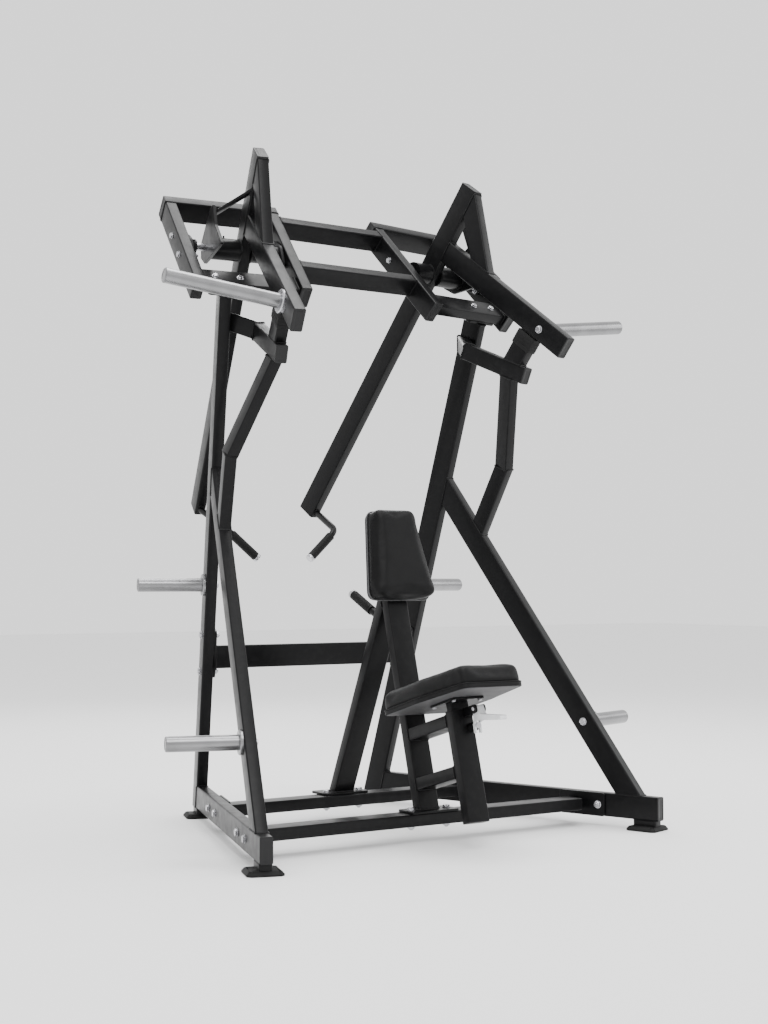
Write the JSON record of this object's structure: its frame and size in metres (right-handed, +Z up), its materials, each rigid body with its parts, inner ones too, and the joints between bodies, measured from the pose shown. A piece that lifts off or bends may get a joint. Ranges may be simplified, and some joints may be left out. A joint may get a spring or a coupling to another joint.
{
  "type": "lat pulldown machine",
  "caption": "Plate-loaded pulldown machine: splayed black tube frame, swinging lever arms with plate horns and grips, chest pad and sliding seat.",
  "frame": {"origin": "centre of the footprint on the floor, under the middle of the machine's box", "axes": "+Z up, +Y to the rear where the rear posts stand, -Y where the seat is, +X to the right seen from the front"},
  "size_m": [1.842, 1.5929, 2.3063],
  "materials": {
    "powder_black": "gloss powder coat",
    "stainless": "brushed",
    "zinc_steel": "bright zinc",
    "plastic_black": "satin",
    "rubber_black": "matte",
    "vinyl_black": "upholstery vinyl over foam",
    "board_grey": "satin",
    "board_black": "satin",
    "silver_cap": "satin",
    "cast_white": "die cast",
    "bearing_iron": "painted"
  },
  "bodies": {
    "frame": {"base_left": "powder_black", "base_right": "powder_black", "base_caps": "plastic_black", "feet": "powder_black", "cross_rear": "powder_black", "cross_front": "powder_black", "rear_post_left": "powder_black", "rear_post_right": "powder_black", "front_leg_left": "powder_black", "front_leg_right": "powder_black", "stop_strut_left": "powder_black", "stop_strut_right": "powder_black", "stop_link_left": "powder_black", "stop_link_right": "powder_black", "stop_bumpers": "rubber_black", "mid_beam": "powder_black", "inner_rail_left": "powder_black", "inner_rail_right": "powder_black", "outer_rail_left": "powder_black", "outer_rail_right": "powder_black", "head_tubes_left": "powder_black", "head_tubes_right": "powder_black", "head_beams": "powder_black", "pad_strut": "powder_black", "pad_post": "powder_black", "seat_post": "powder_black", "seat_rungs": "powder_black", "chest_board": "board_black", "chest_cushion": "vinyl_black", "stabiliser_bar": "powder_black", "stabiliser_grip": "rubber_black", "stabiliser_cap": "silver_cap", "storage_horns": "stainless", "bearings": "bearing_iron", "frame_bolts": "zinc_steel", "adjuster_spring": "zinc_steel", "seat_bush": "plastic_black", "adjuster_body": "powder_black"},
    "lever_left": {"lever_arm_left": "powder_black", "weight_arm_left": "powder_black", "lever_hub_left": "powder_black", "lever_horn_left": "stainless", "lever_fittings_left": "zinc_steel", "lever_caps_left": "plastic_black", "handle_bar_left": "powder_black", "handle_grip_left": "rubber_black"},
    "lever_right": {"lever_arm_right": "powder_black", "weight_arm_right": "powder_black", "lever_hub_right": "powder_black", "lever_horn_right": "stainless", "lever_fittings_right": "zinc_steel", "lever_caps_right": "plastic_black", "handle_bar_right": "powder_black", "handle_grip_right": "rubber_black"},
    "seat": {"seat_stem": "powder_black", "seat_board": "board_grey", "seat_cushion": "vinyl_black", "seat_bolts": "zinc_steel"},
    "adjuster": {"adjuster_lever": "cast_white"},
    "pop_pin": {"adjuster_pin": "zinc_steel"}
  },
  "joints": [
    {"name": "lever_left_swing", "type": "hinge", "parent": "frame", "child": "lever_left", "pos_m": [-0.392, 0.12, 1.987], "axis": [-0.9895, 0.1444, 0], "range_deg": [0, 45]},
    {"name": "lever_right_swing", "type": "hinge", "parent": "frame", "child": "lever_right", "pos_m": [0.392, 0.12, 1.987], "axis": [-0.9895, -0.1444, 0], "range_deg": [0, 45]},
    {"name": "seat_slide", "type": "slide", "parent": "frame", "child": "seat", "axis": [0, 0.2689, 0.9632], "range_m": [-0.02, 0.105]},
    {"name": "adjuster_tilt", "type": "hinge", "parent": "frame", "child": "adjuster", "pos_m": [0.024, -0.6681, 0.44242], "axis": [-1, 0, 0], "range_deg": [0, 9], "stiffness_Nm_per_rad": 1.5, "springref_deg": -17.19},
    {"name": "pop_pin_slide", "type": "slide", "parent": "frame", "child": "pop_pin", "axis": [0, -0.9632, 0.2689], "range_m": [0, 0.012]}
  ],
  "couplings": [
    {"joint": "pop_pin_slide", "follows": "adjuster_tilt", "m_per_rad": 0.075}
  ]
}
